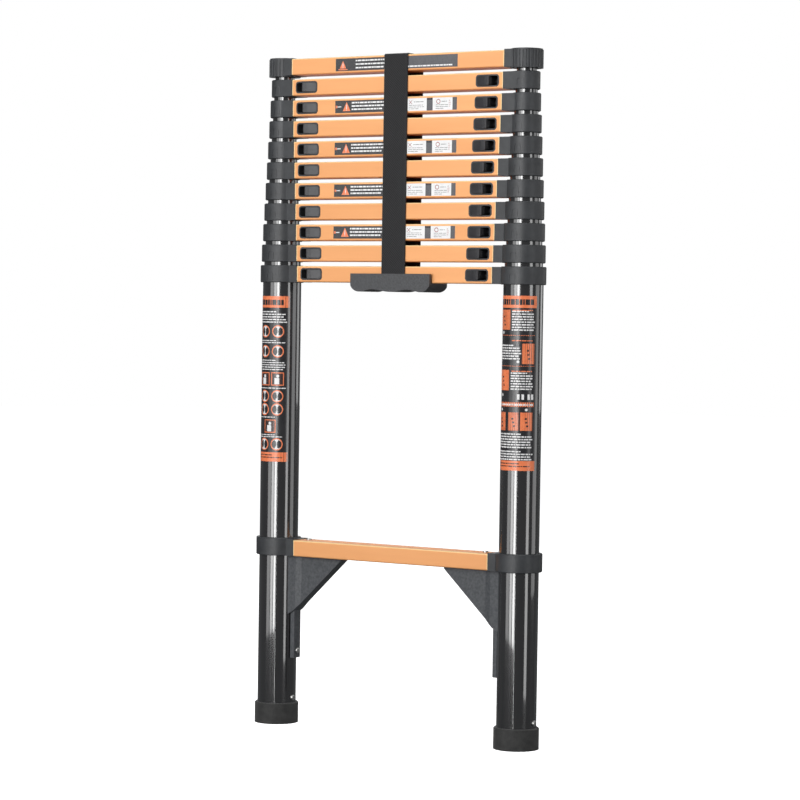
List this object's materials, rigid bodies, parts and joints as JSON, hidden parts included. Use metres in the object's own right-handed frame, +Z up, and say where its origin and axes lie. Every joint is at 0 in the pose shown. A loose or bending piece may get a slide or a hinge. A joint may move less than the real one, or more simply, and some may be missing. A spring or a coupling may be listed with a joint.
{
  "type": "telescoping ladder",
  "caption": "Telescoping ladder stored closed: nested round black stiles, orange box rungs with sliding locks, carry handle, webbing strap and rubber shoes.",
  "frame": {"origin": "on the floor, midway between the two rubber shoes, at the centre of the ladder's depth", "axes": "+Z up along the stiles, +X along the rungs to the right as seen from the front, -Y the front with the lock sliders"},
  "size_m": [0.4558, 0.0628, 0.93],
  "materials": {
    "tube_black": "black anodised, glossy",
    "rung_orange": "orange anodised, satin",
    "collar_plastic": "moulded, fine grain",
    "lock_plastic": "moulded, satin",
    "clamp_metal": "moulded, fine grain",
    "gusset_plastic": "moulded, fine grain",
    "foot_rubber": "matt, grooved sole",
    "screw_steel": "zinc plated",
    "handle_plastic": "textured grip",
    "strap_webbing": "woven webbing",
    "label_print": null
  },
  "bodies": {
    "section_01": {"stile_tubes_01": "tube_black", "rung_01": "rung_orange", "rung_02": "rung_orange", "rung_collars_02": "collar_plastic", "rung_clamps_01": "clamp_metal", "gussets": "gusset_plastic", "rubber_feet": "foot_rubber", "screws": "screw_steel", "carry_handle": "handle_plastic"},
    "section_02": {"stile_tubes_02": "tube_black", "rung_03": "rung_orange", "rung_collars_03": "collar_plastic"},
    "section_03": {"stile_tubes_03": "tube_black", "rung_04": "rung_orange", "rung_collars_04": "collar_plastic"},
    "section_04": {"stile_tubes_04": "tube_black", "rung_05": "rung_orange", "rung_collars_05": "collar_plastic"},
    "section_05": {"stile_tubes_05": "tube_black", "rung_06": "rung_orange", "rung_collars_06": "collar_plastic"},
    "section_06": {"stile_tubes_06": "tube_black", "rung_07": "rung_orange", "rung_collars_07": "collar_plastic"},
    "section_07": {"stile_tubes_07": "tube_black", "rung_08": "rung_orange", "rung_collars_08": "collar_plastic"},
    "section_08": {"stile_tubes_08": "tube_black", "rung_09": "rung_orange", "rung_collars_09": "collar_plastic"},
    "section_09": {"stile_tubes_09": "tube_black", "rung_10": "rung_orange", "rung_collars_10": "collar_plastic"},
    "section_10": {"stile_tubes_10": "tube_black", "rung_11": "rung_orange", "rung_collars_11": "collar_plastic"},
    "section_11": {"stile_tubes_11": "tube_black", "rung_12": "rung_orange", "top_caps": "collar_plastic", "carry_strap": "strap_webbing"},
    "lock_left_02": {"lock_left_02": "lock_plastic"},
    "lock_right_02": {"lock_right_02": "lock_plastic"},
    "lock_left_03": {"lock_left_03": "lock_plastic"},
    "lock_right_03": {"lock_right_03": "lock_plastic"},
    "lock_left_04": {"lock_left_04": "lock_plastic"},
    "lock_right_04": {"lock_right_04": "lock_plastic"},
    "lock_left_05": {"lock_left_05": "lock_plastic"},
    "lock_right_05": {"lock_right_05": "lock_plastic"},
    "lock_left_06": {"lock_left_06": "lock_plastic"},
    "lock_right_06": {"lock_right_06": "lock_plastic"},
    "lock_left_07": {"lock_left_07": "lock_plastic"},
    "lock_right_07": {"lock_right_07": "lock_plastic"},
    "lock_left_08": {"lock_left_08": "lock_plastic"},
    "lock_right_08": {"lock_right_08": "lock_plastic"},
    "lock_left_09": {"lock_left_09": "lock_plastic"},
    "lock_right_09": {"lock_right_09": "lock_plastic"},
    "lock_left_10": {"lock_left_10": "lock_plastic"},
    "lock_right_10": {"lock_right_10": "lock_plastic"},
    "lock_left_11": {"lock_left_11": "lock_plastic"},
    "lock_right_11": {"lock_right_11": "lock_plastic"}
  },
  "joints": [
    {"name": "section_02_slide", "type": "slide", "parent": "section_01", "child": "section_02", "axis": [0, 0, 1], "range_m": [0, 0.288]},
    {"name": "section_03_slide", "type": "slide", "parent": "section_02", "child": "section_03", "axis": [0, 0, 1], "range_m": [0, 0.288]},
    {"name": "section_04_slide", "type": "slide", "parent": "section_03", "child": "section_04", "axis": [0, 0, 1], "range_m": [0, 0.288]},
    {"name": "section_05_slide", "type": "slide", "parent": "section_04", "child": "section_05", "axis": [0, 0, 1], "range_m": [0, 0.288]},
    {"name": "section_06_slide", "type": "slide", "parent": "section_05", "child": "section_06", "axis": [0, 0, 1], "range_m": [0, 0.288]},
    {"name": "section_07_slide", "type": "slide", "parent": "section_06", "child": "section_07", "axis": [0, 0, 1], "range_m": [0, 0.288]},
    {"name": "section_08_slide", "type": "slide", "parent": "section_07", "child": "section_08", "axis": [0, 0, 1], "range_m": [0, 0.288]},
    {"name": "section_09_slide", "type": "slide", "parent": "section_08", "child": "section_09", "axis": [0, 0, 1], "range_m": [0, 0.288]},
    {"name": "section_10_slide", "type": "slide", "parent": "section_09", "child": "section_10", "axis": [0, 0, 1], "range_m": [0, 0.288]},
    {"name": "section_11_slide", "type": "slide", "parent": "section_10", "child": "section_11", "axis": [0, 0, 1], "range_m": [0, 0.288]},
    {"name": "lock_left_02_slide", "type": "slide", "parent": "section_01", "child": "lock_left_02", "axis": [-1, 0, 0], "range_m": [0, 0.008], "stiffness_N_per_m": 300},
    {"name": "lock_right_02_slide", "type": "slide", "parent": "section_01", "child": "lock_right_02", "axis": [1, 0, 0], "range_m": [0, 0.008], "stiffness_N_per_m": 300},
    {"name": "lock_left_03_slide", "type": "slide", "parent": "section_02", "child": "lock_left_03", "axis": [-1, 0, 0], "range_m": [0, 0.008], "stiffness_N_per_m": 300},
    {"name": "lock_right_03_slide", "type": "slide", "parent": "section_02", "child": "lock_right_03", "axis": [1, 0, 0], "range_m": [0, 0.008], "stiffness_N_per_m": 300},
    {"name": "lock_left_04_slide", "type": "slide", "parent": "section_03", "child": "lock_left_04", "axis": [-1, 0, 0], "range_m": [0, 0.008], "stiffness_N_per_m": 300},
    {"name": "lock_right_04_slide", "type": "slide", "parent": "section_03", "child": "lock_right_04", "axis": [1, 0, 0], "range_m": [0, 0.008], "stiffness_N_per_m": 300},
    {"name": "lock_left_05_slide", "type": "slide", "parent": "section_04", "child": "lock_left_05", "axis": [-1, 0, 0], "range_m": [0, 0.008], "stiffness_N_per_m": 300},
    {"name": "lock_right_05_slide", "type": "slide", "parent": "section_04", "child": "lock_right_05", "axis": [1, 0, 0], "range_m": [0, 0.008], "stiffness_N_per_m": 300},
    {"name": "lock_left_06_slide", "type": "slide", "parent": "section_05", "child": "lock_left_06", "axis": [-1, 0, 0], "range_m": [0, 0.008], "stiffness_N_per_m": 300},
    {"name": "lock_right_06_slide", "type": "slide", "parent": "section_05", "child": "lock_right_06", "axis": [1, 0, 0], "range_m": [0, 0.008], "stiffness_N_per_m": 300},
    {"name": "lock_left_07_slide", "type": "slide", "parent": "section_06", "child": "lock_left_07", "axis": [-1, 0, 0], "range_m": [0, 0.008], "stiffness_N_per_m": 300},
    {"name": "lock_right_07_slide", "type": "slide", "parent": "section_06", "child": "lock_right_07", "axis": [1, 0, 0], "range_m": [0, 0.008], "stiffness_N_per_m": 300},
    {"name": "lock_left_08_slide", "type": "slide", "parent": "section_07", "child": "lock_left_08", "axis": [-1, 0, 0], "range_m": [0, 0.008], "stiffness_N_per_m": 300},
    {"name": "lock_right_08_slide", "type": "slide", "parent": "section_07", "child": "lock_right_08", "axis": [1, 0, 0], "range_m": [0, 0.008], "stiffness_N_per_m": 300},
    {"name": "lock_left_09_slide", "type": "slide", "parent": "section_08", "child": "lock_left_09", "axis": [-1, 0, 0], "range_m": [0, 0.008], "stiffness_N_per_m": 300},
    {"name": "lock_right_09_slide", "type": "slide", "parent": "section_08", "child": "lock_right_09", "axis": [1, 0, 0], "range_m": [0, 0.008], "stiffness_N_per_m": 300},
    {"name": "lock_left_10_slide", "type": "slide", "parent": "section_09", "child": "lock_left_10", "axis": [-1, 0, 0], "range_m": [0, 0.008], "stiffness_N_per_m": 300},
    {"name": "lock_right_10_slide", "type": "slide", "parent": "section_09", "child": "lock_right_10", "axis": [1, 0, 0], "range_m": [0, 0.008], "stiffness_N_per_m": 300},
    {"name": "lock_left_11_slide", "type": "slide", "parent": "section_10", "child": "lock_left_11", "axis": [-1, 0, 0], "range_m": [0, 0.008], "stiffness_N_per_m": 300},
    {"name": "lock_right_11_slide", "type": "slide", "parent": "section_10", "child": "lock_right_11", "axis": [1, 0, 0], "range_m": [0, 0.008], "stiffness_N_per_m": 300}
  ]
}
